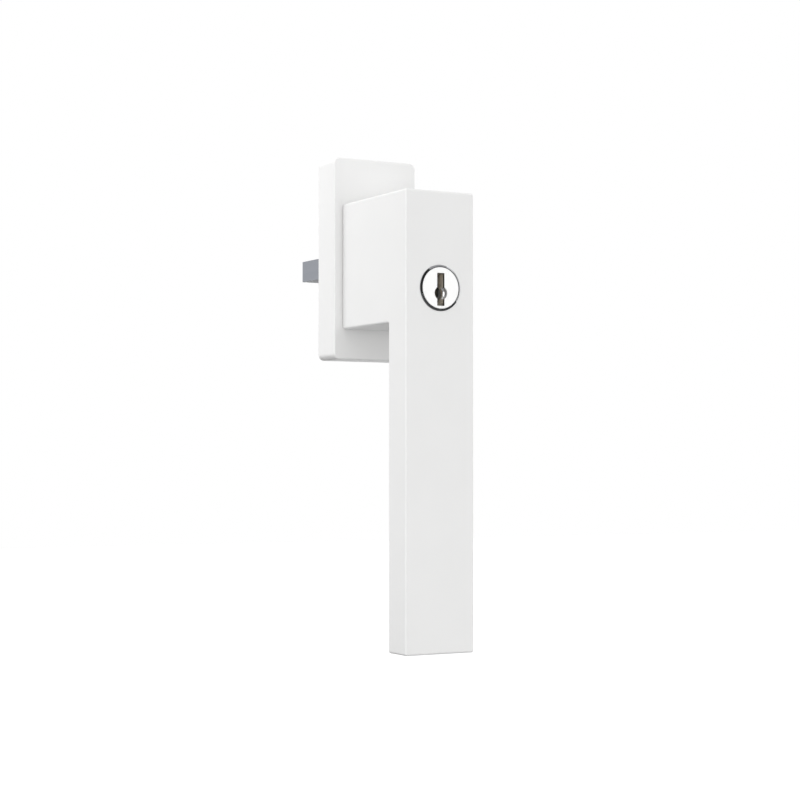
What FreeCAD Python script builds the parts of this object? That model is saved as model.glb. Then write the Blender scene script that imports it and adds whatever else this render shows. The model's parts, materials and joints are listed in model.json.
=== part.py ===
import FreeCAD, Part
import math
import os
import re
import Sketcher
from FreeCAD import Rotation, Vector

# A lockable window handle: a rosette that is screwed to the sash, a square spindle that works the
# gear in the sash, and an L-shaped lever with a key lock in its neck. The lever hangs down when the
# window is closed. The origin is on the spindle's axis at the sash face, +Y goes into the sash, +Z is
# up, and the handle's front faces -Y. A height above the sash face is therefore a distance along -Y.

doc = FreeCAD.newDocument("KeyedHandle")

# Driving dimensions in millimetres
SIZES = [
    # Rosette cover
    ("rosette_width", 30.0),
    ("rosette_height", 65.5),
    ("rosette_depth", 11.3),
    ("rosette_corner", 2.0),
    ("rosette_edge", 0.6),
    ("cover_wall", 1.5),
    ("cover_fit", 0.3),
    ("snap_height", 0.6),
    ("snap_length", 10.0),
    ("snap_place", 1.6),
    # Base plate
    ("pocket_depth", 5.5),
    ("screw_spacing", 43.0),
    ("screw_hole", 5.3),
    ("screw_head_hole", 10.0),
    ("screw_floor", 3.5),
    ("lug_diameter", 10.0),
    ("lug_length", 2.0),
    ("core_wall", 1.5),
    ("core_floor", 2.0),
    # Fits
    ("running_fit", 0.05),
    ("opening_fit", 0.2),
    # Lever
    ("neck_gap", 0.4),
    ("neck_depth", 41.6),
    ("neck_top", 17.5),
    ("neck_drop", 23.0),
    ("lever_width", 24.2),
    ("grip_thickness", 11.0),
    ("grip_drop", 124.6),
    ("edge_radius", 0.7),
    ("inner_corner", 0.5),
    ("neck_edge", 0.15),
    ("boss_diameter", 13.0),
    ("boss_square", 10.4),
    ("square_bore_corner", 1.2),
    ("boss_setback", 0.6),
    # Bush and glide washer
    ("bush_wall", 1.25),
    ("glide_overlap", 0.6),
    # Spindle
    ("spindle_side", 7.0),
    ("spindle_reach", 35.8),
    ("spindle_insert", 30.0),
    ("spindle_chamfer", 0.4),
    ("cross_pin_diameter", 2.0),
    ("cross_pin_place", 9.2),
    ("cross_pin_setback", 0.3),
    # Detent, retaining washer and circlip
    ("cam_side", 17.0),
    ("cam_corner", 4.9),
    ("cam_depth", 2.9),
    ("leaf_thickness", 0.7),
    ("leaf_length", 26.0),
    ("leaf_bow", 1.9),
    ("leaf_seat", 3.5),
    ("washer_thickness", 0.5),
    ("clip_thickness", 0.8),
    ("clip_groove_depth", 0.6),
    ("clip_width", 1.5),
    ("clip_ear_radius", 1.2),
    # Key lock
    ("lock_drop", 12.5),
    ("rim_wall", 0.65),
    ("rim_proud", 0.45),
    ("rim_crest", 0.15),
    ("rim_slope", 0.3),
    ("rim_floor", 0.2),
    ("face_cap_radius", 6.4),
    ("face_cap_proud", 0.5),
    ("face_cap_thickness", 0.9),
    ("keyway_width", 2.55),
    ("keyway_top", 4.58),
    ("keyway_bottom", 5.5),
    ("key_hole_diameter", 4.45),
    ("key_hole_drop", 1.62),
    ("housing_wall", 0.95),
    ("housing_tail", 4.6),
    ("plug_radius", 5.5),
    ("plug_slot_top", 4.3),
    ("plug_slot_bottom", 4.6),
    ("plug_slot_runout", 2.5),
    ("stub_step", 0.9),
    ("stub_length", 2.2),
    ("retainer_groove_depth", 0.6),
    ("retainer_overhang", 0.4),
    ("tang_width", 3.0),
    ("tang_length", 1.2),
    ("tang_setback", 0.3),
    ("wafer_width", 5.0),
    ("wafer_thickness", 1.2),
    ("wafer_pitch", 2.0),
    ("wafer_start", 3.3),
    ("wafer_window_width", 2.7),
    ("wafer_window_height", 4.2),
    ("wafer_window_step", 0.35),
    ("grub_radius", 2.0),
    ("grub_setback", 2.1),
    ("grub_tip_radius", 1.2),
    ("grub_tip_length", 0.5),
    ("grub_socket", 2.0),
    # Locking bolt and its barrel cam
    ("bolt_radius", 3.0),
    ("bolt_throw", 6.0),
    ("bolt_setback", 0.2),
    ("bolt_end_gap", 0.4),
    ("bolt_chamfer", 0.5),
    ("sleeve_fit", 0.15),
    ("sleeve_end_wall", 1.3),
    ("sleeve_tail", 2.05),
    ("sleeve_play", 0.1),
    ("follower_radius", 1.0),
    ("follower_place", 1.8),
    ("follower_overhang", 0.9),
    ("follower_fit", 0.15),
    # Degrees by which each helical slot runs on past its first and last place
    ("slot_overrun", 4.0),
]

sheet = doc.addObject("Spreadsheet::Sheet", "Sizes")
for row, (alias, value) in enumerate(SIZES, start=1):
    sheet.set("A%d" % row, alias.replace("_", " "))
    sheet.set("B%d" % row, str(value))
    sheet.setAlias("B%d" % row, alias)
doc.recompute()

# The plug carries this many wafers, sprung up and down by turns
WAFER_COUNT = 5

# Places that follow from the sizes
BASE_DEPTH = "(rosette_depth - cover_wall - cover_fit)"
BASE_SIDE = "(rosette_width / 2 - cover_wall - cover_fit)"
BASE_END = "(rosette_height / 2 - cover_wall - cover_fit)"
NECK_BACK = "(rosette_depth + neck_gap)"
FRONT_FACE = "(%s + neck_depth)" % NECK_BACK
BOSS_RADIUS = "(boss_diameter / 2)"
BUSH_RADIUS = "(%s + running_fit + bush_wall)" % BOSS_RADIUS
CAM_FRONT = "(pocket_depth - running_fit)"
CAM_BACK = "(%s - cam_depth)" % CAM_FRONT
CLIP_FRONT = "(%s - washer_thickness)" % CAM_BACK
CLIP_GROOVE = "(%s - clip_groove_depth)" % BOSS_RADIUS
LEAF_FACE = "(cam_side / 2 + running_fit)"
LEAF_BACK = "(%s + leaf_thickness)" % LEAF_FACE
BOLT_HOLE_RADIUS = "(bolt_radius + opening_fit)"
CAP_BACK = "(face_cap_thickness - face_cap_proud)"
RIM_RADIUS = "(face_cap_radius + running_fit + rim_wall)"
RIM_SEAT = "(%s + running_fit + rim_floor)" % CAP_BACK
HOUSING_RADIUS = "(plug_radius + running_fit + housing_wall)"
WAFERS_END = "(wafer_start + %d * wafer_pitch + wafer_thickness)" % (WAFER_COUNT - 1)
HOUSING_END = "(%s + housing_tail)" % WAFERS_END
GRUB_PLACE = "(%s - grub_setback)" % HOUSING_END
STUB_RADIUS = "(plug_radius - stub_step)"
STUB_END = "(%s + stub_length)" % HOUSING_END
SLEEVE_FRONT = "(%s + sleeve_play)" % STUB_END
SLEEVE_BORE = "(bolt_radius + sleeve_fit)"
BOLT_END = "(%s + sleeve_end_wall + bolt_end_gap)" % SLEEVE_FRONT
FOLLOWER = "(%s + follower_place)" % BOLT_END
SLOT_RADIUS = "(follower_radius + follower_fit)"
SLEEVE_BACK = "(%s + bolt_throw + %s + sleeve_tail)" % (FOLLOWER, SLOT_RADIUS)
FOLLOWER_REACH = "(plug_radius + follower_overhang)"


def bind(expression):
    """The expression with each size's name turned into its cell in the sheet."""
    return re.sub(r"[a-z]+(_[a-z]+)+", lambda name: "Sizes." + name.group(0), str(expression))


def bind_property(item, name, expression):
    item.setExpression(name, bind(expression))


def new_body(label, x="0", y="0", z="0"):
    body = doc.addObject("PartDesign::Body", label)
    body.Label = label
    body.AllowCompound = True
    bind_property(body, "Placement.Base.x", x)
    bind_property(body, "Placement.Base.y", y)
    bind_property(body, "Placement.Base.z", z)
    return body


def origin_feature(body, role):
    return [item for item in body.Origin.OriginFeatures if item.Role == role][0]


def new_sketch(body, name, plane="XZ_Plane", offset="0"):
    """A sketch on one of the body's own planes. On XZ_Plane the offset counts along -Y."""
    sketch = body.newObject("Sketcher::SketchObject", body.Label + "_" + name)
    sketch.AttachmentSupport = [(origin_feature(body, plane), "")]
    sketch.MapMode = "FlatFace"
    bind_property(sketch, "AttachmentOffset.Base.z", offset)
    return sketch


def pin_point(sketch, geometry, point, x, y):
    """Ties a point to the sketch's origin by two bound distances."""
    for kind, axis, distance in (("DistanceX", -2, x), ("DistanceY", -1, y)):
        if distance == "0":
            sketch.addConstraint(Sketcher.Constraint("PointOnObject", geometry, point, axis))
        else:
            index = sketch.addConstraint(Sketcher.Constraint(kind, -1, 1, geometry, point, 1.0))
            bind_property(sketch, "Constraints[%d]" % index, distance)


def draw_polygon(sketch, corners):
    """A closed outline through corners given as pairs of expressions."""
    first = sketch.GeometryCount
    count = len(corners)
    turns = [2 * math.pi * step / count for step in range(count + 1)]
    rough = [Vector(math.cos(turn), math.sin(turn), 0) for turn in turns]
    for step in range(count):
        sketch.addGeometry(Part.LineSegment(rough[step], rough[step + 1]))
    for step, (x, y) in enumerate(corners):
        line = first + step
        following = first + (step + 1) % count
        sketch.addConstraint(Sketcher.Constraint("Coincident", line, 2, following, 1))
        pin_point(sketch, line, 1, x, y)


def draw_rectangle(sketch, left, right, bottom, top):
    draw_polygon(sketch, [(left, bottom), (right, bottom), (right, top), (left, top)])


def draw_block(sketch, half_width, half_height, middle="0"):
    """A rectangle about the sketch's vertical axis, with its middle at a height."""
    low = "%s - %s" % (middle, half_height)
    high = "%s + %s" % (middle, half_height)
    draw_rectangle(sketch, "-" + half_width, half_width, low, high)


def draw_circle(sketch, radius, x="0", y="0"):
    geometry = sketch.addGeometry(Part.Circle(Vector(0, 0, 0), Vector(0, 0, 1), 1.0))
    pin_point(sketch, geometry, 3, x, y)
    index = sketch.addConstraint(Sketcher.Constraint("Radius", geometry, 1.0))
    bind_property(sketch, "Constraints[%d]" % index, radius)


def add_feature(body, kind, sketch, name):
    feature = body.newObject("PartDesign::" + kind, body.Label + "_" + name)
    feature.Profile = sketch
    sketch.Visibility = False
    return feature


def pad(body, sketch, length, name, backwards=False, both_ways=False):
    feature = add_feature(body, "Pad", sketch, name)
    feature.Reversed = backwards
    feature.SideType = "Symmetric" if both_ways else "One side"
    bind_property(feature, "Length", length)
    doc.recompute()


def finish_cut(body, feature):
    """Computes a cut and makes sure that it took something away."""
    before = body.Shape.Volume
    doc.recompute()
    if body.Shape.Volume >= before - 1e-6:
        raise RuntimeError("%s cuts nothing" % feature.Label)


def pocket(body, sketch, length, name, forwards=False, both_ways=False):
    """Cuts against the sketch's normal, or along it when forwards."""
    feature = add_feature(body, "Pocket", sketch, name)
    feature.Reversed = forwards
    feature.SideType = "Symmetric" if both_ways else "One side"
    bind_property(feature, "Length", length)
    finish_cut(body, feature)


def cut_through(body, sketch, name):
    """Cuts right through the body on both sides of the sketch."""
    feature = add_feature(body, "Pocket", sketch, name)
    feature.Type = "ThroughAll"
    feature.SideType = "Symmetric"
    finish_cut(body, feature)


def turn(body, sketch, name):
    """A full revolution about the body's Y axis."""
    feature = add_feature(body, "Revolution", sketch, name)
    feature.ReferenceAxis = (sketch, ["H_Axis"])
    feature.Angle = 360.0
    doc.recompute()


def groove(body, sketch, name):
    """A cut turned all the way about the body's Y axis."""
    feature = add_feature(body, "Groove", sketch, name)
    feature.ReferenceAxis = (sketch, ["H_Axis"])
    feature.Angle = 360.0
    finish_cut(body, feature)


def edge_names(body, wanted):
    """The names of the tip's edges whose middle point and direction the test wants."""
    names = []
    for index, edge in enumerate(body.Tip.Shape.Edges, start=1):
        if edge.Degenerated:
            continue
        middle = edge.valueAt((edge.FirstParameter + edge.LastParameter) / 2)
        along = edge.tangentAt((edge.FirstParameter + edge.LastParameter) / 2)
        if wanted(middle, along, edge):
            names.append("Edge%d" % index)
    return names


def dress_edges(body, kind, amount, name, wanted):
    names = edge_names(body, wanted)
    base = body.Tip
    feature = body.newObject("PartDesign::" + kind, body.Label + "_" + name)
    feature.Base = (base, names)
    bind_property(feature, "Radius" if kind == "Fillet" else "Size", amount)
    doc.recompute()


def round_edges(body, radius, name, wanted):
    dress_edges(body, "Fillet", radius, name, wanted)


def chamfer_edges(body, width, name, wanted):
    dress_edges(body, "Chamfer", width, name, wanted)


def near(value, target):
    return abs(value - target) < 1e-3


def size(alias):
    return float(sheet.get(alias))


def runs_along(direction, axis):
    return near(abs(getattr(direction, axis)), 1.0)


def draw_snap(sketch, sign, wall, height):
    """The triangular section of a snap rib that stands inward from the cover's end wall."""
    draw_polygon(sketch, [
        ("-(snap_place - %s)" % height, sign + wall),
        ("-(snap_place + %s)" % height, sign + wall),
        ("-snap_place", sign + "(%s - %s)" % (wall, height)),
    ])


def make_base_plate():
    """Die-cast plate under the cover, with the detent's pocket behind and the screws' lugs."""
    body = new_body("base_plate")
    outline = new_sketch(body, "outline")
    draw_block(outline, BASE_SIDE, BASE_END)
    pad(body, outline, BASE_DEPTH, "plate")
    round_edges(body, "rosette_corner - cover_wall + cover_fit", "corners",
                lambda middle, along, edge: runs_along(along, "y"))
    lugs = new_sketch(body, "lugs_outline")
    holes = new_sketch(body, "screw_outline")
    heads = new_sketch(body, "head_outline", offset=BASE_DEPTH)
    bolt_holes = new_sketch(body, "bolt_outline", offset=BASE_DEPTH)
    for sign in ("", "-"):
        place = sign + "screw_spacing / 2"
        draw_circle(lugs, "lug_diameter / 2", y=place)
        draw_circle(holes, "screw_hole / 2", y=place)
        draw_circle(heads, "screw_head_hole / 2", y=place)
        draw_circle(bolt_holes, BOLT_HOLE_RADIUS, y=sign + "lock_drop")
    pad(body, lugs, "lug_length", "lugs", backwards=True)
    cut_through(body, holes, "screw_holes")
    pocket(body, heads, BASE_DEPTH + " - screw_floor", "head_holes")
    pocket(body, bolt_holes, BASE_DEPTH + " - pocket_depth", "bolt_holes")
    bearing = new_sketch(body, "bearing_outline")
    draw_circle(bearing, BUSH_RADIUS)
    pocket(body, bearing, BASE_DEPTH, "bearing", forwards=True)
    spring_seats = new_sketch(body, "seats_outline")
    seat_end = "(leaf_length / 2 + running_fit)"
    draw_block(spring_seats, "(%s + running_fit)" % LEAF_BACK, seat_end)
    pocket(body, spring_seats, "pocket_depth", "spring_seats", forwards=True)
    spring_room = new_sketch(body, "room_outline")
    draw_block(spring_room, "(%s + leaf_bow)" % LEAF_BACK, "(leaf_length / 2 - leaf_seat)")
    pocket(body, spring_room, "pocket_depth", "spring_room", forwards=True)
    cores = new_sketch(body, "cores_outline")
    inner_side = "(lug_diameter / 2 + core_wall)"
    outer_side = "(%s - core_wall)" % BASE_SIDE
    inner_end = "(leaf_length / 2 + running_fit + core_wall)"
    outer_end = "(%s - core_wall)" % BASE_END
    for left, right in ((inner_side, outer_side), ("-" + outer_side, "-" + inner_side)):
        draw_rectangle(cores, left, right, inner_end, outer_end)
        draw_rectangle(cores, left, right, "-" + outer_end, "-" + inner_end)
    pocket(body, cores, BASE_DEPTH + " - core_floor", "cores", forwards=True)
    for sign in ("", "-"):
        notch = new_sketch(body, "notch_outline", plane="YZ_Plane")
        draw_snap(notch, sign, "(rosette_height / 2 - cover_wall)", "(snap_height + running_fit)")
        pocket(body, notch, "snap_length + 2 * opening_fit", "notch", both_ways=True)
    return body


def make_rosette_cover():
    """Cast cover that hides the screws: a shell with the boss's opening and two bolt holes."""
    body = new_body("rosette_cover")
    outline = new_sketch(body, "outline")
    draw_block(outline, "rosette_width / 2", "rosette_height / 2")
    pad(body, outline, "rosette_depth", "shell")
    round_edges(body, "rosette_corner", "corners",
                lambda middle, along, edge: runs_along(along, "y"))
    face = -size("rosette_depth")
    round_edges(body, "rosette_edge", "face_edge",
                lambda middle, along, edge: near(middle.y, face) and near(edge.BoundBox.YLength, 0))
    hollow = new_sketch(body, "hollow_outline")
    draw_block(hollow, "(rosette_width / 2 - cover_wall)", "(rosette_height / 2 - cover_wall)")
    pocket(body, hollow, "rosette_depth - cover_wall", "hollow", forwards=True)
    inside = size("rosette_width") / 2 - size("cover_wall")
    round_edges(body, "rosette_corner - cover_wall", "inner_corners",
                lambda middle, along, edge: runs_along(along, "y") and near(abs(middle.x), inside))
    openings = new_sketch(body, "opening_outline", offset="rosette_depth")
    draw_circle(openings, BUSH_RADIUS + " + opening_fit")
    draw_circle(openings, BOLT_HOLE_RADIUS + " + running_fit", y="lock_drop")
    draw_circle(openings, BOLT_HOLE_RADIUS + " + running_fit", y="-lock_drop")
    cut_through(body, openings, "openings")
    for sign in ("", "-"):
        snap = new_sketch(body, "snap_outline", plane="YZ_Plane")
        draw_snap(snap, sign, "(rosette_height / 2 - cover_wall)", "snap_height")
        pad(body, snap, "snap_length", "snap", both_ways=True)
    return body


def make_bearing_bush():
    """Plastic bush that carries the lever's boss in the base plate."""
    body = new_body("bearing_bush")
    wall = new_sketch(body, "outline", offset="pocket_depth")
    draw_circle(wall, BUSH_RADIUS)
    draw_circle(wall, BOSS_RADIUS + " + running_fit")
    pad(body, wall, "rosette_depth - pocket_depth", "sleeve")
    return body


def make_glide_washer():
    """Thin plastic washer that fills the gap between the rosette and the lever's neck."""
    body = new_body("glide_washer")
    ring = new_sketch(body, "outline", offset="rosette_depth")
    draw_circle(ring, BUSH_RADIUS + " + glide_overlap")
    draw_circle(ring, BOSS_RADIUS + " + running_fit")
    pad(body, ring, "neck_gap", "ring")
    return body


def make_detent_spring(label, sign):
    """Flat leaf spring that presses on one side of the square cam."""
    body = new_body(label)
    strip = new_sketch(body, "outline", offset=CAM_BACK)
    draw_rectangle(strip, sign + LEAF_FACE, sign + LEAF_BACK, "-leaf_length / 2", "leaf_length / 2")
    pad(body, strip, "cam_depth", "strip")
    return body


def cut_square_bore(body, front, depth, tool_name):
    """Cuts the bore that fits over the boss's square end, rounded at its corners."""
    bore = new_sketch(body, tool_name, offset=front)
    half = "(boss_square / 2 + running_fit)"
    draw_block(bore, half, half)
    pocket(body, bore, depth, tool_name + "_cut")
    reach = size("boss_square") / 2 + size("running_fit")
    round_edges(body, "square_bore_corner", tool_name + "_corners",
                lambda middle, along, edge: (runs_along(along, "y") and near(abs(middle.x), reach)
                                             and near(abs(middle.z), reach)))


def make_detent_cam():
    """Square ring on the boss. Its flats rest on the leaf springs at every quarter turn."""
    body = new_body("detent_cam")
    block = new_sketch(body, "outline", offset=CAM_BACK)
    draw_block(block, "cam_side / 2", "cam_side / 2")
    pad(body, block, "cam_depth", "block")
    round_edges(body, "cam_corner", "corners",
                lambda middle, along, edge: runs_along(along, "y"))
    cut_square_bore(body, CAM_FRONT, "cam_depth", "bore")
    return body


def make_retaining_washer():
    """Steel washer between the cam and the circlip."""
    body = new_body("retaining_washer")
    disc = new_sketch(body, "outline", offset=CLIP_FRONT)
    draw_circle(disc, "cam_side / 2")
    pad(body, disc, "washer_thickness", "disc")
    cut_square_bore(body, CAM_BACK, "washer_thickness", "bore")
    return body


def make_clip(label, groove_radius, outer_radius, front, ears, y="0", z="0"):
    """Open spring ring that snaps into a groove, with or without ears for pliers."""
    body = new_body(label, y=y, z=z)
    ring = new_sketch(body, "outline", offset="%s - clip_thickness" % front)
    draw_circle(ring, outer_radius)
    draw_circle(ring, "%s + running_fit" % groove_radius)
    pad(body, ring, "clip_thickness", "ring")
    gap = new_sketch(body, "gap_outline", offset=front)
    draw_rectangle(gap, "-clip_ear_radius", "clip_ear_radius", "-2 * " + outer_radius, "0")
    pocket(body, gap, "clip_thickness", "gap")
    if ears:
        for sign in ("", "-"):
            ear = new_sketch(body, "ear_outline", offset="%s - clip_thickness" % front)
            place = sign + "2 * clip_ear_radius"
            height = "-(%s + %s) / 2" % (groove_radius, outer_radius)
            draw_circle(ear, "clip_ear_radius", x=place, y=height)
            draw_circle(ear, "clip_ear_radius / 2", x=place, y=height)
            pad(body, ear, "clip_thickness", "ear")
    return body


def make_spindle():
    """Square steel bar that turns the gear in the sash, with a cross hole for its pin."""
    body = new_body("spindle")
    section = new_sketch(body, "outline", offset="spindle_insert")
    draw_block(section, "spindle_side / 2", "spindle_side / 2")
    pad(body, section, "spindle_insert + spindle_reach", "bar", backwards=True)
    chamfer_edges(body, "spindle_chamfer", "ends",
                  lambda middle, along, edge: near(edge.BoundBox.YLength, 0))
    hole = new_sketch(body, "hole_outline", plane="YZ_Plane")
    draw_circle(hole, "cross_pin_diameter / 2 + running_fit", x="-cross_pin_place")
    cut_through(body, hole, "pin_hole")
    return body


def make_cross_pin(label, radius, half_length, y, z="0"):
    """Plain round pin along X, centred on the YZ plane."""
    pin = doc.addObject("Part::Cylinder", label)
    pin.Label = label
    bind_property(pin, "Radius", radius)
    bind_property(pin, "Height", "2 * (%s)" % half_length)
    pin.Placement.Rotation = Rotation(Vector(0, 1, 0), 90)
    bind_property(pin, "Placement.Base.x", "-(%s)" % half_length)
    bind_property(pin, "Placement.Base.y", y)
    bind_property(pin, "Placement.Base.z", z)
    return pin


def make_lever_handle():
    """Cast lever: flat grip, deep neck, boss for the spindle, and the lock's stepped bore."""
    body = new_body("lever_handle")
    profile = new_sketch(body, "outline", plane="YZ_Plane")
    grip_back = "-(%s - grip_thickness)" % FRONT_FACE
    draw_polygon(profile, [
        ("-" + NECK_BACK, "neck_top"),
        ("-" + FRONT_FACE, "neck_top"),
        ("-" + FRONT_FACE, "-grip_drop"),
        (grip_back, "-grip_drop"),
        (grip_back, "-neck_drop"),
        ("-" + NECK_BACK, "-neck_drop"),
    ])
    pad(body, profile, "lever_width", "casting", both_ways=True)
    neck_back = -(size("rosette_depth") + size("neck_gap"))
    front_face = neck_back - size("neck_depth")
    back_of_grip = front_face + size("grip_thickness")
    underside = -size("neck_drop")

    def is_inner_corner(middle, along, edge):
        return near(middle.y, back_of_grip) and near(middle.z, underside)

    def is_outer_edge(middle, along, edge):
        from_corner = math.hypot(middle.y - back_of_grip, middle.z - underside)
        beside_inner_arc = runs_along(along, "x") and from_corner < 2 * size("inner_corner")
        return not near(middle.y, neck_back) and not beside_inner_arc

    round_edges(body, "inner_corner", "inner_corner", is_inner_corner)
    round_edges(body, "edge_radius", "outer_edges", is_outer_edge)
    chamfer_edges(body, "neck_edge", "neck_edges",
                  lambda middle, along, edge: near(middle.y, neck_back))

    boss = new_sketch(body, "boss_outline", offset=NECK_BACK)
    draw_circle(boss, BOSS_RADIUS)
    pad(body, boss, "%s - pocket_depth" % NECK_BACK, "boss", backwards=True)
    square = new_sketch(body, "square_outline", offset="pocket_depth")
    draw_block(square, "boss_square / 2", "boss_square / 2")
    pad(body, square, "pocket_depth - boss_setback", "square_end", backwards=True)
    corners = new_sketch(body, "corners_outline", plane="YZ_Plane")
    draw_rectangle(corners, "-pocket_depth", "0", BOSS_RADIUS, "boss_square")
    groove(body, corners, "turned_corners")
    clip_seat = new_sketch(body, "clip_outline", plane="YZ_Plane")
    draw_rectangle(clip_seat, "-" + CLIP_FRONT, "-(%s - clip_thickness)" % CLIP_FRONT,
                   CLIP_GROOVE, "boss_square")
    groove(body, clip_seat, "clip_groove")
    socket = new_sketch(body, "socket_outline", offset="boss_setback")
    half = "(spindle_side / 2 + running_fit)"
    draw_block(socket, half, half)
    pocket(body, socket, "spindle_insert - boss_setback + running_fit", "socket", forwards=True)
    pin_hole = new_sketch(body, "pin_outline", plane="YZ_Plane")
    draw_circle(pin_hole, "cross_pin_diameter / 2 + running_fit", x="-cross_pin_place")
    cut_through(body, pin_hole, "pin_hole")

    bores = [
        ("rim_bore", RIM_RADIUS, RIM_SEAT),
        ("housing_bore", HOUSING_RADIUS, STUB_END),
        ("sleeve_bore", "plug_radius", SLEEVE_BACK + " + running_fit"),
        ("bolt_bore", "bolt_radius", "neck_depth"),
    ]
    for name, radius, depth in bores:
        circle = new_sketch(body, name + "_outline", offset=FRONT_FACE)
        draw_circle(circle, radius + " + running_fit", y="-lock_drop")
        pocket(body, circle, depth, name)
    guides = new_sketch(body, "guide_outline", offset=FRONT_FACE)
    guide_side = "(%s + running_fit)" % FOLLOWER_REACH
    draw_block(guides, guide_side, "(follower_radius + running_fit)", "-lock_drop")
    pocket(body, guides, "%s + bolt_throw + %s" % (FOLLOWER, SLOT_RADIUS), "guide_grooves")
    grub = new_sketch(body, "grub_outline", plane="XY_Plane", offset="-neck_drop")
    draw_circle(grub, "grub_radius", y="-(%s - %s)" % (FRONT_FACE, GRUB_PLACE))
    pocket(body, grub, "neck_drop - lock_drop", "grub_hole", forwards=True)
    return body


def lock_body(label):
    """A body on the lock's axis. Its own Y counts the depth behind the lever's front face."""
    return new_body(label, y="-" + FRONT_FACE, z="-lock_drop")


def make_lock_housing():
    """Chromed lock housing: a rim on the lever's face and a barrel with four wafer channels."""
    body = lock_body("lock_housing")
    profile = new_sketch(body, "outline", plane="YZ_Plane")
    cap_bore = "face_cap_radius + running_fit"
    plug_bore = "plug_radius + running_fit"
    draw_polygon(profile, [
        ("-rim_proud", cap_bore),
        ("-rim_proud", cap_bore + " + rim_crest"),
        ("-(rim_proud - rim_slope)", RIM_RADIUS),
        (RIM_SEAT, RIM_RADIUS),
        (RIM_SEAT, HOUSING_RADIUS),
        (HOUSING_END, HOUSING_RADIUS),
        (HOUSING_END, plug_bore),
        (CAP_BACK + " + running_fit", plug_bore),
        (CAP_BACK + " + running_fit", cap_bore),
    ])
    turn(body, profile, "barrel")
    along = ("(wafer_start - opening_fit)", "(%s + opening_fit)" % WAFERS_END)
    across = ("-(wafer_width / 2 + running_fit)", "(wafer_width / 2 + running_fit)")
    side_channels = new_sketch(body, "side_outline", plane="YZ_Plane")
    draw_rectangle(side_channels, along[0], along[1], across[0], across[1])
    cut_through(body, side_channels, "side_channels")
    end_channels = new_sketch(body, "end_outline", plane="XY_Plane")
    draw_rectangle(end_channels, across[0], across[1], along[0], along[1])
    cut_through(body, end_channels, "end_channels")
    dimple = new_sketch(body, "dimple_outline", plane="XY_Plane", offset="-" + HOUSING_RADIUS)
    draw_circle(dimple, "grub_tip_radius + running_fit", y=GRUB_PLACE)
    pocket(body, dimple, "grub_tip_length + running_fit", "grub_dimple", forwards=True)
    return body


def make_housing_grub_screw():
    """Socket set screw in the neck's underside that holds the lock housing."""
    body = new_body("housing_grub_screw", y="-(%s - %s)" % (FRONT_FACE, GRUB_PLACE), z="-lock_drop")
    seat = "-(%s + running_fit)" % HOUSING_RADIUS
    foot = "(neck_drop - lock_drop - opening_fit)"
    shank = new_sketch(body, "outline", plane="XY_Plane", offset="-" + foot)
    draw_circle(shank, "grub_radius - running_fit")
    pad(body, shank, "%s - %s - running_fit" % (foot, HOUSING_RADIUS), "shank")
    tip = new_sketch(body, "tip_outline", plane="XY_Plane", offset=seat)
    draw_circle(tip, "grub_tip_radius")
    pad(body, tip, "grub_tip_length", "tip")
    socket = new_sketch(body, "socket_outline", plane="XY_Plane", offset="-" + foot)
    across = "grub_socket / 2"
    corner = "grub_socket / sqrt(3)"
    draw_polygon(socket, [
        (corner, "0"),
        (corner + " / 2", across),
        ("-" + corner + " / 2", across),
        ("-" + corner, "0"),
        ("-" + corner + " / 2", "-" + across),
        (corner + " / 2", "-" + across),
    ])
    pocket(body, socket, "grub_socket", "socket", forwards=True)
    return body


def make_plug():
    """Brass plug that the key turns, slotted for the key and for its wafers."""
    body = lock_body("plug")
    profile = new_sketch(body, "outline", plane="YZ_Plane")
    groove_front = "%s + running_fit" % HOUSING_END
    groove_back = "%s + clip_thickness + 2 * running_fit" % HOUSING_END
    groove_radius = "%s - retainer_groove_depth" % STUB_RADIUS
    draw_polygon(profile, [
        (CAP_BACK, "0"),
        (CAP_BACK, "plug_radius"),
        (HOUSING_END, "plug_radius"),
        (HOUSING_END, STUB_RADIUS),
        (groove_front, STUB_RADIUS),
        (groove_front, groove_radius),
        (groove_back, groove_radius),
        (groove_back, STUB_RADIUS),
        (STUB_END, STUB_RADIUS),
        (STUB_END, "0"),
    ])
    turn(body, profile, "barrel")
    tang = new_sketch(body, "tang_outline", offset="-" + STUB_END)
    draw_block(tang, "(%s - tang_setback)" % STUB_RADIUS, "(tang_width / 2)")
    pad(body, tang, "tang_length", "tang", backwards=True)
    keyway = new_sketch(body, "keyway_outline")
    draw_rectangle(keyway, "-keyway_width / 2", "keyway_width / 2", "-plug_slot_bottom", "plug_slot_top")
    pocket(body, keyway, WAFERS_END + " + plug_slot_runout", "keyway")
    key_hole = new_sketch(body, "key_hole_outline")
    draw_circle(key_hole, "key_hole_diameter / 2", y="-key_hole_drop")
    pocket(body, key_hole, "wafer_start - running_fit", "key_hole")
    slots = new_sketch(body, "slots_outline", plane="YZ_Plane")
    for step in range(WAFER_COUNT):
        front = "(wafer_start + %d * wafer_pitch - running_fit)" % step
        back = "(%s + wafer_thickness + 2 * running_fit)" % front
        draw_rectangle(slots, front, back, "-2 * plug_radius", "2 * plug_radius")
    pocket(body, slots, "wafer_width + 2 * running_fit", "wafer_slots", both_ways=True)
    return body


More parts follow.
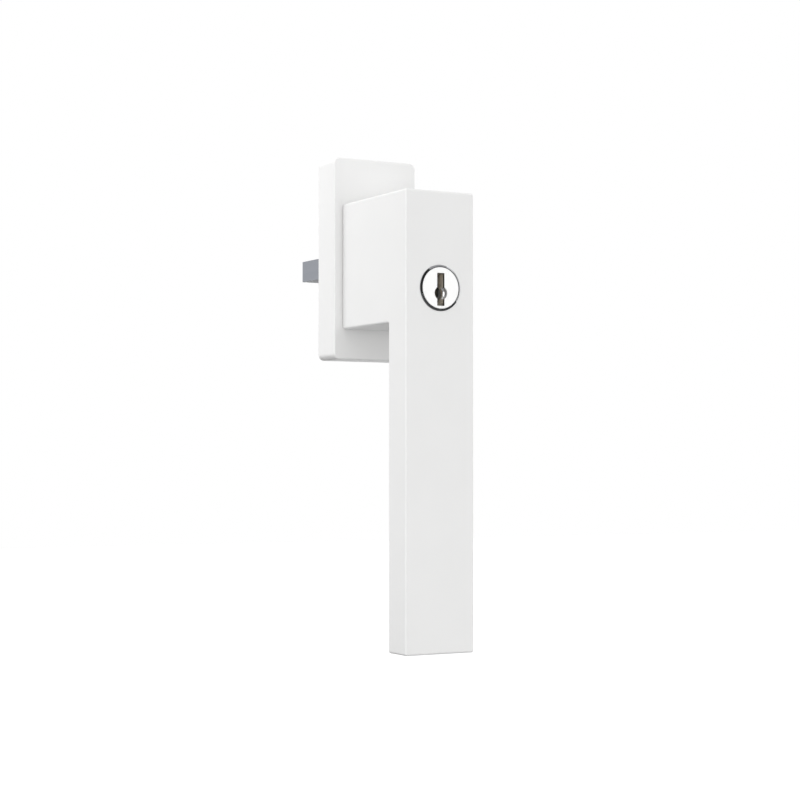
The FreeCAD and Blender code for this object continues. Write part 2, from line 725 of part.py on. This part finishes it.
def make_plug_face_cap():
    """White cap on the plug's face, with the keyway and its round middle."""
    body = lock_body("plug_face_cap")
    disc = new_sketch(body, "outline", offset="face_cap_proud - face_cap_thickness")
    draw_circle(disc, "face_cap_radius")
    pad(body, disc, "face_cap_thickness", "disc")
    slot = new_sketch(body, "slot_outline", offset="face_cap_proud")
    draw_rectangle(slot, "-keyway_width / 2", "keyway_width / 2", "-keyway_bottom", "keyway_top")
    pocket(body, slot, "face_cap_thickness", "slot")
    middle_hole = new_sketch(body, "hole_outline", offset="face_cap_proud")
    draw_circle(middle_hole, "key_hole_diameter / 2", y="-key_hole_drop")
    pocket(body, middle_hole, "face_cap_thickness", "key_hole")
    return body


def make_wafers(label, first):
    """Every second wafer: a sprung plate across the plug, with a window for the key."""
    body = lock_body(label)
    for step in range(first, WAFER_COUNT, 2):
        front = "-(wafer_start + %d * wafer_pitch)" % step
        plate = new_sketch(body, "plate_outline", offset=front + " - wafer_thickness")
        draw_circle(plate, "plug_radius - running_fit")
        pad(body, plate, "wafer_thickness", "plate")
        sides = new_sketch(body, "sides_outline", offset=front)
        draw_block(sides, "(2 * plug_radius)", "(2 * plug_radius)")
        draw_block(sides, "(wafer_width / 2)", "(1.5 * plug_radius)")
        pocket(body, sides, "wafer_thickness", "sides")
        window = new_sketch(body, "window_outline", offset=front)
        shift = "%d * wafer_window_step" % (step % 3 - 1)
        draw_block(window, "(wafer_window_width / 2)", "(wafer_window_height / 2)", shift)
        pocket(body, window, "wafer_thickness", "window")
    return body


def make_cam_sleeve():
    """Barrel cam on the plug's tang: two helical slots that drive the follower pin along the bolt."""
    body = lock_body("cam_sleeve")
    profile = new_sketch(body, "outline", plane="YZ_Plane")
    bore_end = "(%s + sleeve_end_wall)" % SLEEVE_FRONT
    draw_polygon(profile, [
        (SLEEVE_FRONT, "0"),
        (SLEEVE_FRONT, "plug_radius"),
        (SLEEVE_BACK, "plug_radius"),
        (SLEEVE_BACK, SLEEVE_BORE),
        (bore_end, SLEEVE_BORE),
        (bore_end, "0"),
    ])
    turn(body, profile, "barrel")
    tang_slot = new_sketch(body, "tang_outline", offset="-" + SLEEVE_FRONT)
    draw_block(tang_slot, "(%s - tang_setback + running_fit)" % STUB_RADIUS,
               "(tang_width / 2 + running_fit)")
    pocket(body, tang_slot, "tang_length + running_fit", "tang_slot")

    # A pin of the slot's radius, moving along the helix, sweeps this much along the axis
    rise = 2 * size("bolt_throw") / math.pi
    hole = size("follower_radius") + size("follower_fit")
    inner = size("bolt_radius") + size("sleeve_fit")
    outer = size("plug_radius")
    sweep_inside, sweep_outside = [
        "%.4f" % (hole * math.hypot(radius, rise) / radius) for radius in (inner, outer)]
    middle = "%s - bolt_throw * slot_overrun / 90" % FOLLOWER
    for sign in ("", "-"):
        start = new_sketch(body, "helix_outline", plane="XY_Plane")
        start.AttachmentOffset.Rotation = Rotation(Vector(0, 1, 0), 1)
        bind_property(start, "AttachmentOffset.Rotation.Angle", "slot_overrun")
        inside = sign + "(bolt_radius / 2)"
        outside = sign + "(plug_radius + bolt_radius / 2)"
        draw_polygon(start, [
            (inside, "%s - %s" % (middle, sweep_inside)),
            (outside, "%s - %s" % (middle, sweep_outside)),
            (outside, "%s + %s" % (middle, sweep_outside)),
            (inside, "%s + %s" % (middle, sweep_inside)),
        ])
        helix = add_feature(body, "SubtractiveHelix", start, "helix")
        helix.ReferenceAxis = (origin_feature(body, "Y_Axis"), [""])
        helix.Mode = "pitch-height-angle"
        bind_property(helix, "Pitch", "4 * bolt_throw")
        bind_property(helix, "Height", "bolt_throw * (1 + slot_overrun / 45)")
        helix.LeftHanded = True
        doc.recompute()
    slot_start = new_sketch(body, "start_outline", plane="YZ_Plane")
    draw_circle(slot_start, SLOT_RADIUS, x=FOLLOWER)
    cut_through(body, slot_start, "slot_start")
    slot_end = new_sketch(body, "end_outline", plane="XY_Plane")
    draw_circle(slot_end, SLOT_RADIUS, y=FOLLOWER + " + bolt_throw")
    cut_through(body, slot_end, "slot_end")
    return body


def make_locking_bolt():
    """Round bolt that slides out of the neck's back into the rosette."""
    body = new_body("locking_bolt", z="-lock_drop")
    bar = new_sketch(body, "outline", offset="%s + bolt_setback" % NECK_BACK)
    draw_circle(bar, "bolt_radius")
    pad(body, bar, "neck_depth - bolt_setback - %s" % BOLT_END, "bar")
    tip = -(size("rosette_depth") + size("neck_gap") + size("bolt_setback"))
    chamfer_edges(body, "bolt_chamfer", "tip", lambda middle, along, edge: near(middle.y, tip))
    hole = new_sketch(body, "hole_outline", plane="YZ_Plane")
    draw_circle(hole, "follower_radius + running_fit", x="-(%s - %s)" % (FRONT_FACE, FOLLOWER))
    cut_through(body, hole, "pin_hole")
    return body


parts = [
    make_base_plate(),
    make_rosette_cover(),
    make_bearing_bush(),
    make_glide_washer(),
    make_detent_spring("detent_spring_left", "-"),
    make_detent_spring("detent_spring_right", ""),
    make_detent_cam(),
    make_retaining_washer(),
    make_clip("circlip", CLIP_GROOVE, "(%s + clip_width)" % CLIP_GROOVE, CLIP_FRONT, ears=True),
    make_spindle(),
    make_cross_pin("spindle_pin", "cross_pin_diameter / 2",
                   BOSS_RADIUS + " - cross_pin_setback", "-cross_pin_place"),
    make_lever_handle(),
    make_lock_housing(),
    make_housing_grub_screw(),
    make_plug(),
    make_plug_face_cap(),
    make_clip("plug_retainer", "(%s - retainer_groove_depth)" % STUB_RADIUS,
              "(plug_radius + retainer_overhang)", "-(%s + running_fit)" % HOUSING_END,
              ears=False, y="-" + FRONT_FACE, z="-lock_drop"),
    make_wafers("wafers_upper", 0),
    make_wafers("wafers_lower", 1),
    make_cam_sleeve(),
    make_locking_bolt(),
    make_cross_pin("follower_pin", "follower_radius", FOLLOWER_REACH,
                   "-(%s - %s)" % (FRONT_FACE, FOLLOWER), "-lock_drop"),
]

doc.recompute()
for item in doc.Objects:
    if "Invalid" in item.State or "Error" in item.State:
        raise RuntimeError("%s did not build: %s" % (item.Label, item.State))
for part in parts:
    if part.Shape.isNull() or not part.Shape.isValid():
        raise RuntimeError("%s has no valid shape" % part.Label)

os.makedirs("parts", exist_ok=True)
for part in parts:
    part.Shape.exportStep(os.path.join("parts", part.Label + ".step"))
    box = part.Shape.BoundBox
    print("%-20s %2d solids %9.2f mm3  x %.2f..%.2f  y %.2f..%.2f  z %.2f..%.2f" % (
        part.Label, len(part.Shape.Solids), part.Shape.Volume,
        box.XMin, box.XMax, box.YMin, box.YMax, box.ZMin, box.ZMax))
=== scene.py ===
import bmesh
import bpy
import json
import math
from mathutils import Matrix, Vector


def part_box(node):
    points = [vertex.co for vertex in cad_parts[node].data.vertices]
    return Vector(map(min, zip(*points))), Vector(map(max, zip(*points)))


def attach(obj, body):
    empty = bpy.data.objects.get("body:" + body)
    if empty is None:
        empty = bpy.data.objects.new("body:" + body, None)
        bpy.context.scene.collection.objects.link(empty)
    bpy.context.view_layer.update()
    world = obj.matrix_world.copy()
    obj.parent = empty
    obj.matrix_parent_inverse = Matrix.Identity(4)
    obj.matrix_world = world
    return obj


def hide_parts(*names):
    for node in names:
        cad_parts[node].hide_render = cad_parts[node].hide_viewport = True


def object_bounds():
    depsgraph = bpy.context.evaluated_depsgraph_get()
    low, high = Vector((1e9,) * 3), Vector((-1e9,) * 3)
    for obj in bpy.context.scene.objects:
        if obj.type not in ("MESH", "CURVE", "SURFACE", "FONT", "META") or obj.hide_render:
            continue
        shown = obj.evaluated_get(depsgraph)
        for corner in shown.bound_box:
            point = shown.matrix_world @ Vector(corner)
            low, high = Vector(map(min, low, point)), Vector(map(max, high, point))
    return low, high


# The lockable window handle: a white powder-coated lever and rosette, a chromed lock with a white
# face, and a bare zinc-plated spindle. Everything is in metres, with +Z up and the front facing -Y.

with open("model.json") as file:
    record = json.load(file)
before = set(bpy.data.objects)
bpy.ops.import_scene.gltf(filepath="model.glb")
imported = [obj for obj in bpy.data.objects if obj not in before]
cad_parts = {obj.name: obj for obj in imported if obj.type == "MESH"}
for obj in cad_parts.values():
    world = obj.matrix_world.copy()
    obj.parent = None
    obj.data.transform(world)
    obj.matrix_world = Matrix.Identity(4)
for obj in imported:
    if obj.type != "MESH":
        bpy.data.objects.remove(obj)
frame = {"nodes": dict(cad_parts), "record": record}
cad_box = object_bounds()
nodes = frame["nodes"]
MM = 0.001

# The camera that the photograph's edges give, in its 800 pixel square frame
IMAGE_SIZE = 800
SENSOR_WIDTH = 36.0
FOCAL_PIXELS = 1884.2
CAMERA_PLACE = Vector((-0.29116, -0.55170, -0.06595))
CAMERA_YAW = math.radians(29.073)
CAMERA_PITCH = math.radians(1.889)
CAMERA_ROLL = math.radians(0.022)
CLIP_START = 0.01


class Nodes:
    """A material's node tree, with short ways to add and join its nodes."""

    def __init__(self, name):
        self.material = bpy.data.materials.new(name)
        self.material.use_nodes = True
        self.tree = self.material.node_tree
        self.shader = self.tree.nodes["Principled BSDF"]
        self.surface = self.tree.nodes["Material Output"].inputs["Surface"]

    def add(self, kind, **inputs):
        node = self.tree.nodes.new("ShaderNode" + kind)
        for name, value in inputs.items():
            node.inputs[name.replace("_", " ")].default_value = value
        return node

    def join(self, source, target):
        self.tree.links.new(source, target)

    def set(self, **inputs):
        for name, value in inputs.items():
            self.shader.inputs[name.replace("_", " ")].default_value = value

    def coordinates(self, stretch=(1.0, 1.0, 1.0)):
        """Object coordinates, drawn out along an axis where its stretch is under 1."""
        place = self.add("TexCoord")
        mapping = self.add("Mapping", Scale=stretch)
        self.join(place.outputs["Object"], mapping.inputs["Vector"])
        return mapping.outputs["Vector"]

    def noise(self, scale, detail=2.0, stretch=(1.0, 1.0, 1.0)):
        texture = self.add("TexNoise", Scale=scale, Detail=detail)
        self.join(self.coordinates(stretch), texture.inputs["Vector"])
        return texture.outputs["Fac"]

    def ramp(self, source, low, high):
        """Spreads a noise, which lies mostly between 0.3 and 0.7, between two values."""
        spread = self.add("MapRange", From_Min=0.3, From_Max=0.7, To_Min=low, To_Max=high)
        self.join(source, spread.inputs["Value"])
        return spread.outputs["Result"]

    def mix(self, factor, first, second):
        """Mixes two colours, each of them a socket or three numbers."""
        mix = self.add("Mix")
        mix.data_type = "RGBA"
        for colour, socket in ((first, mix.inputs["A"]), (second, mix.inputs["B"])):
            if isinstance(colour, tuple):
                socket.default_value = (*colour, 1.0)
            else:
                self.join(colour, socket)
        self.join(factor, mix.inputs["Factor"])
        return mix.outputs["Result"]

    def colours(self, source, low, high):
        """Colours the surface between two colours by a noise."""
        mixed = self.mix(self.ramp(source, 0.0, 1.0), low, high)
        self.join(mixed, self.shader.inputs["Base Color"])

    def bump(self, source, distance, strength=1.0):
        bump = self.add("Bump", Strength=strength, Distance=distance)
        self.join(source, bump.inputs["Height"])
        self.join(bump.outputs["Normal"], self.shader.inputs["Normal"])


def powder_coat():
    """Satin white powder coat: a fine orange peel and barely uneven gloss."""
    coat = Nodes("white_powder_coat")
    coat.set(IOR=1.5)
    coat.colours(coat.noise(60.0), (0.856, 0.856, 0.851), (0.869, 0.869, 0.864))
    coat.join(coat.ramp(coat.noise(350.0), 0.28, 0.32), coat.shader.inputs["Roughness"])
    coat.bump(coat.noise(1400.0, detail=1.0), 0.004 * MM, strength=0.3)
    return coat.material


def cap_enamel():
    """Glossy white enamel on the lock's face."""
    coat = Nodes("white_enamel")
    coat.set(IOR=1.5, Coat_Weight=1.0, Coat_Roughness=0.04)
    coat.colours(coat.noise(300.0), (0.955, 0.955, 0.95), (0.97, 0.97, 0.965))
    coat.join(coat.ramp(coat.noise(700.0), 0.2, 0.28), coat.shader.inputs["Roughness"])
    coat.bump(coat.noise(1500.0), 0.005 * MM, strength=0.2)
    return coat.material


def metal(name, low, high, roughness, grain=None, bump_depth=0.004 * MM, scale=500.0, bare=1.0):
    """A slightly uneven metal, brushed along an axis where a grain is given. Bare is its Metallic."""
    shade = Nodes(name)
    shade.set(Metallic=bare)
    stretch = grain or (1.0, 1.0, 1.0)
    shade.colours(shade.noise(scale, stretch=stretch), low, high)
    gloss = shade.ramp(shade.noise(2 * scale, stretch=stretch), *roughness)
    shade.join(gloss, shade.shader.inputs["Roughness"])
    shade.bump(shade.noise(3 * scale, detail=3.0, stretch=stretch), bump_depth, strength=0.5)
    return shade.material


# The Y of a brass face's normal: down to the first the face is a wall, and from the second it looks out
# and is fully darkened as painted shade
SIDEWAYS = -0.8
OUTWARD = -0.95


def nickel_brass_painted_shade():
    """Machined nickel brass, with painted shade: the faces that look outward get a dark copy of its
    colour.
    """
    shade = Nodes("nickel_brass_painted_shade")
    shade.set(Metallic=0.35)
    place = shade.add("TexCoord")
    parts = shade.add("SeparateXYZ")
    shade.join(place.outputs["Normal"], parts.inputs["Vector"])
    # How much painted shade a face takes, from the Y of its normal
    outward = shade.add("MapRange", From_Min=SIDEWAYS, From_Max=OUTWARD, To_Min=0.0, To_Max=1.0)
    shade.join(parts.outputs["Y"], outward.inputs["Value"])
    grain = shade.noise(500.0, stretch=(1.0, 0.1, 1.0))
    walls = shade.mix(shade.ramp(grain, 0.0, 1.0), (0.76, 0.69, 0.58), (0.85, 0.775, 0.655))
    # Painted shade: the dark copy of the brass for the faces that look outward
    front = shade.mix(shade.ramp(grain, 0.0, 1.0), (0.20, 0.18, 0.14), (0.26, 0.235, 0.19))
    both = shade.mix(outward.outputs["Result"], walls, front)
    shade.join(both, shade.shader.inputs["Base Color"])
    shade.join(shade.ramp(shade.noise(1000.0), 0.4, 0.55), shade.shader.inputs["Roughness"])
    shade.bump(shade.noise(1500.0, detail=3.0, stretch=(1.0, 0.1, 1.0)), 0.004 * MM, strength=0.5)
    return shade.material


def nylon():
    """Dull dark nylon, as moulded."""
    shade = Nodes("dark_nylon")
    shade.set(IOR=1.53)
    shade.colours(shade.noise(400.0), (0.030, 0.030, 0.032), (0.045, 0.045, 0.048))
    shade.join(shade.ramp(shade.noise(800.0), 0.45, 0.6), shade.shader.inputs["Roughness"])
    shade.bump(shade.noise(1600.0), 0.01 * MM, strength=0.4)
    return shade.material


def make_finishes():
    """The finish of each of the record's slots, and of the lock's dark keyway wall, lining and wafers.
    """
    return {
        "white_paint": powder_coat(),
        "white_cap": cap_enamel(),
        "cast_metal": metal("zinc_casting", (0.44, 0.45, 0.47), (0.49, 0.50, 0.52), (0.45, 0.55),
                            bump_depth=0.008 * MM, scale=700.0),
        "chrome": metal("chrome", (0.58, 0.59, 0.61), (0.62, 0.63, 0.65), (0.07, 0.12)),
        "zinc_steel": metal("zinc_plated_steel", (0.28, 0.295, 0.33), (0.32, 0.335, 0.37), (0.3, 0.42),
                            grain=(1.0, 0.05, 1.0)),
        "spring_steel": metal("spring_steel", (0.14, 0.14, 0.15), (0.2, 0.2, 0.21), (0.3, 0.45)),
        "brass": nickel_brass_painted_shade(),
        "nylon": nylon(),
        "dark_keyway_wall": metal("dark_cap_keyway_wall", (0.14, 0.135, 0.12), (0.18, 0.175, 0.155), (0.4, 0.5)),
        "polished": metal("polished_steel", (0.84, 0.84, 0.85), (0.90, 0.90, 0.91), (0.18, 0.26),
                          bare=0.55),
        # The wafers' dark grey is painted shade for the depth of the keyway
        "wafer": metal("dark_wafer_painted_shade", (0.15, 0.151, 0.155), (0.19, 0.191, 0.195), (0.35, 0.5),
                       bare=0.35),
    }


WAFERS = ("wafers_upper", "wafers_lower")


def dress_nodes(finishes):
    """Gives each carried-over node the finish of its slot in the record, and the wafers a dark one that
    is painted shade for the depth of the keyway.
    """
    for part in frame["record"]["subparts"]:
        finish = "wafer" if part["node"] in WAFERS else part["material_slot"]
        mesh = nodes[part["node"]].data
        mesh.materials.clear()
        mesh.materials.append(finishes[finish])


# The keyway in the lock's face, and the rounded edges of the face
KEYWAY_WIDTH = 2.55 * MM
KEYWAY_TOP = 4.58 * MM
KEYWAY_BOTTOM = 5.5 * MM
KEY_HOLE_RADIUS = 2.225 * MM
KEY_HOLE_DROP = 1.62 * MM
CAP_EDGE = 0.2 * MM
KEYWAY_EDGE = 0.06 * MM

# The steps in each stretch of half the keyway's outline, and in a rounded edge
END_STEPS = 5
UPPER_SIDE_STEPS = 20
HOLE_STEPS = 28
LOWER_SIDE_STEPS = 6
EDGE_STEPS = 4

# The narrow band that keeps a rounded edge crisp, and the angle from which an edge is sharp
SUPPORT = 0.01 * MM
SHARP_ANGLE = math.radians(35.0)

# The polished lining in the round middle of the keyway
LINING_WALL = 0.08 * MM
LINING_FIT = 0.02 * MM
LINING_BACKSET = 0.1 * MM
LINING_DEPTH = 1.45 * MM
LINING_CONE = 0.3 * MM
LINING_STEPS = 24


def divided(start, end, count):
    """Points from start up to, but not at, the end of a straight line."""
    return [tuple(a + (b - a) * step / count for a, b in zip(start, end)) for step in range(count)]


def keyway_outline(grow):
    """The keyway as (x, z) about the lock's axis, with each side moved outward by grow."""
    half = KEYWAY_WIDTH / 2 + grow
    radius = KEY_HOLE_RADIUS + grow
    top, bottom = KEYWAY_TOP + grow, -KEYWAY_BOTTOM - grow
    start = math.asin(half / radius)
    turns = [start + (math.pi - 2 * start) * step / HOLE_STEPS for step in range(HOLE_STEPS + 1)]
    arc = [(radius * math.sin(turn), radius * math.cos(turn) - KEY_HOLE_DROP) for turn in turns]
    right = divided((0, top), (half, top), END_STEPS)
    right += divided((half, top), arc[0], UPPER_SIDE_STEPS)
    right += arc[:-1]
    right += divided(arc[-1], (half, bottom), LOWER_SIDE_STEPS)
    right += divided((half, bottom), (0, bottom), END_STEPS)
    left = [(-x, z) for x, z in reversed(right[1:])]
    return right + [(0, bottom)] + left


def circle_beside(outline, radius):
    """A circle about the lock's axis with a point in the direction of each point of an outline."""
    return [(radius * x / math.hypot(x, z), radius * z / math.hypot(x, z)) for x, z in outline]


def make_mesh(name, vertices, faces, materials, face_materials=None):
    """A mesh object with outward normals, smooth but for its sharp edges."""
    mesh = bpy.data.meshes.new(name)
    mesh.from_pydata(vertices, [], faces)
    shape = bmesh.new()
    shape.from_mesh(mesh)
    bmesh.ops.recalc_face_normals(shape, faces=shape.faces)
    shape.to_mesh(mesh)
    shape.free()
    mesh.shade_smooth()
    mesh.set_sharp_from_angle(angle=SHARP_ANGLE)
    for material in materials:
        mesh.materials.append(material)
    if face_materials:
        mesh.polygons.foreach_set("material_index", face_materials)
    piece = bpy.data.objects.new(name, mesh)
    bpy.context.scene.collection.objects.link(piece)
    return piece


def band(first, second, count):
    """Faces between two closed rows of vertices that start at first and second."""
    return [(first + step, first + (step + 1) % count, second + (step + 1) % count, second + step)
            for step in range(count)]


def make_face_cap(white, bare):
    """The lock's white face with softened edges, its keyway's walls in a dark metal."""
    low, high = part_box("plug_face_cap")
    middle_x, middle_z = (low.x + high.x) / 2, (low.z + high.z) / 2
    radius, front, back = (high.x - low.x) / 2, low.y, high.y
    outline = keyway_outline(0.0)
    turns = [math.pi / 2 * step / EDGE_STEPS for step in range(EDGE_STEPS + 1)]
    rim = circle_beside(outline, radius)
    rows = [(rim, back), (rim, front + CAP_EDGE + SUPPORT)]
    for turn in turns:
        ring = circle_beside(outline, radius - CAP_EDGE * (1 - math.cos(turn)))
        rows.append((ring, front + CAP_EDGE * (1 - math.sin(turn))))
    rows.append((circle_beside(outline, radius - CAP_EDGE - SUPPORT), front))
    rows.append((keyway_outline(KEYWAY_EDGE + SUPPORT), front))
    for turn in reversed(turns):
        ring = keyway_outline(KEYWAY_EDGE * (1 - math.cos(turn)))
        rows.append((ring, front + KEYWAY_EDGE * (1 - math.sin(turn))))
    dark_wall_from = len(rows) - 1
    rows.append((outline, front + KEYWAY_EDGE + SUPPORT))
    rows.append((outline, back))
    count = len(outline)
    vertices = [(middle_x + x, y, middle_z + z) for ring, y in rows for x, z in ring]
    faces, finishes = [], []
    for row in range(len(rows)):
        faces += band(row * count, (row + 1) % len(rows) * count, count)
        finishes += [int(dark_wall_from <= row < len(rows) - 1)] * count
    cap = make_mesh("lock_face", vertices, faces, [white, bare], finishes)
    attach(cap, "lock_plug")
    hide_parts("plug_face_cap")


def make_key_hole_lining(polished):
    """Two polished cheeks in the round middle of the keyway, each with a sloping foot."""
    low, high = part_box("plug_face_cap")
    middle_x, middle_z = (low.x + high.x) / 2, (low.z + high.z) / 2 - KEY_HOLE_DROP
    outer = KEY_HOLE_RADIUS - LINING_FIT
    wall = outer - LINING_WALL
    front = low.y + LINING_BACKSET
    foot = front + LINING_DEPTH
    end = foot + LINING_CONE
    section = [(outer, front), (wall, front), (wall, foot), (wall - LINING_CONE, end),
               (wall - LINING_CONE, end + LINING_WALL), (outer, end + LINING_WALL)]
    reach = math.acos((KEYWAY_WIDTH / 2 + LINING_FIT) / outer)
    vertices, faces = [], []
    for side in (0.0, math.pi):
        first = len(vertices)
        for step in range(LINING_STEPS + 1):
            turn = side - reach + 2 * reach * step / LINING_STEPS
            vertices += [(middle_x + radius * math.cos(turn), y, middle_z + radius * math.sin(turn))
                         for radius, y in section]
        for step in range(LINING_STEPS):
            start = first + step * len(section)
            faces += band(start, start + len(section), len(section))
        faces.append(tuple(range(first, first + len(section))))
        last = first + LINING_STEPS * len(section)
        faces.append(tuple(range(last, last + len(section))))
    lining = make_mesh("key_hole_lining", vertices, faces, [polished])
    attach(lining, "lock_plug")


def aim(item, target):
    """Turns a camera or lamp so that it looks from its place to the target."""
    direction = Vector(target) - item.location
    item.rotation_euler = direction.to_track_quat("-Z", "Y").to_euler()


def make_camera():
    """The camera at the photograph's place, turned by its yaw, pitch and roll."""
    camera = bpy.data.objects.new("camera", bpy.data.cameras.new("camera"))
    bpy.context.scene.collection.objects.link(camera)
    camera.data.sensor_width = SENSOR_WIDTH
    camera.data.lens = FOCAL_PIXELS * SENSOR_WIDTH / IMAGE_SIZE
    camera.data.clip_start = CLIP_START
    forward = Vector((math.sin(CAMERA_YAW) * math.cos(CAMERA_PITCH),
                      math.cos(CAMERA_YAW) * math.cos(CAMERA_PITCH), math.sin(CAMERA_PITCH)))
    right = Vector((math.cos(CAMERA_YAW), -math.sin(CAMERA_YAW), 0.0))
    up = right.cross(forward)
    turn = Matrix((right, up, -forward)).transposed() @ Matrix.Rotation(CAMERA_ROLL, 3, "Z")
    camera.matrix_world = Matrix.Translation(CAMERA_PLACE) @ turn.to_4x4()
    bpy.context.scene.camera = camera


def make_sheet(name, width, tall, material):
    """A flat sheet about its own middle, which faces up until it is turned."""
    x, y = width / 2, tall / 2
    mesh = bpy.data.meshes.new(name)
    mesh.from_pydata([(-x, -y, 0), (x, -y, 0), (x, y, 0), (-x, y, 0)], [], [(0, 1, 2, 3)])
    mesh.materials.append(material)
    sheet = bpy.data.objects.new(name, mesh)
    bpy.context.scene.collection.objects.link(sheet)
    return sheet


def white_to_the_eye(tree, lit, white):
    """Joins a white emission, seen by camera, mirror and glass rays, to a lit shader for the rest."""
    rays = tree.nodes.new("ShaderNodeLightPath")
    seen = None
    for ray in ("Is Camera Ray", "Is Glossy Ray", "Is Transmission Ray"):
        if seen is None:
            seen = rays.outputs[ray]
            continue
        either = tree.nodes.new("ShaderNodeMath")
        either.operation = "MAXIMUM"
        tree.links.new(seen, either.inputs[0])
        tree.links.new(rays.outputs[ray], either.inputs[1])
        seen = either.outputs["Value"]
    mix = tree.nodes.new("ShaderNodeMixShader")
    tree.links.new(seen, mix.inputs["Fac"])
    tree.links.new(lit, mix.inputs[1])
    tree.links.new(white, mix.inputs[2])
    return mix.outputs["Shader"]


# The background's light, and the floor's depth under the handle, size, grey and glow
AMBIENT = 1.0
FLOOR_BELOW = 0.11
FLOOR_SIZE = 6.0
FLOOR_SHADE = 0.4
FLOOR_GLOW = 0.75

# Soft boxes round the handle: name, place, side and watts
LAMPS = [
    ("low_front", (-0.1, -1.1, -0.35), 0.8, 4.15),
    ("low_left", (-0.62, -0.86, -0.36), 0.6, 3.85),
    ("low_right", (0.6, -0.9, -0.3), 0.6, 1.65),
    ("near_back", (-0.2, 0.12, 0.15), 0.15, 0.26),
]

# Boards that show only in reflections: name, direction from -X towards -Y and lift in degrees,
# distance, width and height, and brightness
BOARDS = [
    ("camera_side", (72.0, 5.0), 1.0, (1.35, 2.4), 0.04),
    ("overhead", (90.0, 90.0), 1.3, (2.6, 2.6), 0.5),
    ("underneath", (90.0, -90.0), 0.19, (1.75, 1.75), 0.1),
    ("left_strip", (26.0, -8.0), 0.8, (0.85, 1.3), 3.0),
    ("right_side", (180.0, 0.0), 1.0, (0.9, 1.2), 0.7),
    ("front_side", (125.0, 5.0), 1.2, (0.9, 2.6), 0.42),
    ("front_strip", (119.0, 5.0), 1.0, (0.22, 0.22), 1.9),
]
# The board that only the lock's face reflects
FACE_STRIP = "front_strip"

# The point that the lamps and boards face
FACED_POINT = (0.0, -0.03, -0.04)


def make_world():
    """Even light from all round, in a background that is white to the camera and in reflections."""
    world = bpy.data.worlds.new("studio")
    world.use_nodes = True
    bpy.context.scene.world = world
    tree = world.node_tree
    lit = tree.nodes["Background"]
    lit.inputs["Color"].default_value = (1.0, 1.0, 1.0, 1.0)
    lit.inputs["Strength"].default_value = AMBIENT
    white = tree.nodes.new("ShaderNodeBackground")
    white.inputs["Color"].default_value = (1.0, 1.0, 1.0, 1.0)
    white.inputs["Strength"].default_value = 1.0
    surface = white_to_the_eye(tree, lit.outputs["Background"], white.outputs["Background"])
    tree.links.new(surface, tree.nodes["World Output"].inputs["Surface"])


def make_floor():
    """A pale floor under the hanging handle, which keeps its soft shadow."""
    shade = Nodes("floor")
    shade.set(Base_Color=(FLOOR_SHADE, FLOOR_SHADE, FLOOR_SHADE, 1.0), Roughness=0.9)
    glow = shade.add("Emission", Color=(1.0, 1.0, 1.0, 1.0), Strength=FLOOR_GLOW)
    both = shade.add("AddShader")
    shade.join(shade.shader.outputs["BSDF"], both.inputs[0])
    shade.join(glow.outputs["Emission"], both.inputs[1])
    surface = white_to_the_eye(shade.tree, shade.shader.outputs["BSDF"], both.outputs["Shader"])
    shade.join(surface, shade.surface)
    floor = make_sheet("floor", FLOOR_SIZE, FLOOR_SIZE, shade.material)
    floor.location.z = cad_box[0][2] - FLOOR_BELOW


def make_lamps():
    """Soft lamps that light the handle without showing in its gloss."""
    for name, place, side, watts in LAMPS:
        lamp = bpy.data.objects.new(name, bpy.data.lights.new(name, "AREA"))
        bpy.context.scene.collection.objects.link(lamp)
        lamp.data.size = side
        lamp.data.energy = watts
        lamp.location = place
        lamp.visible_camera = False
        lamp.visible_glossy = False
        aim(lamp, FACED_POINT)


def make_boards():
    """Black, grey and white boards round the handle, for the reflections in its gloss and metal."""
    for name, (direction, height), distance, (width, tall), brightness in BOARDS:
        shade = Nodes(name)
        glow = shade.add("Emission", Strength=brightness)
        shade.join(glow.outputs["Emission"], shade.surface)
        board = make_sheet(name, width, tall, shade.material)
        turn, lift = math.radians(direction), math.radians(height)
        towards = Vector((-math.cos(turn) * math.cos(lift), -math.sin(turn) * math.cos(lift),
                          math.sin(lift)))
        board.location = Vector(FACED_POINT) + distance * towards
        aim(board, FACED_POINT)
        board.visible_camera = False
        board.visible_diffuse = False
        board.visible_shadow = False
        board.visible_transmission = False
        if name == FACE_STRIP:
            receivers = bpy.data.collections.new(name)
            receivers.objects.link(bpy.data.objects["lock_face"])
            board.light_linking.receiver_collection = receivers


finishes = make_finishes()
dress_nodes(finishes)
make_face_cap(finishes["white_cap"], finishes["dark_keyway_wall"])
make_key_hole_lining(finishes["polished"])
make_camera()
make_world()
make_floor()
make_lamps()
make_boards()
bpy.context.scene.view_settings.view_transform = "Standard"
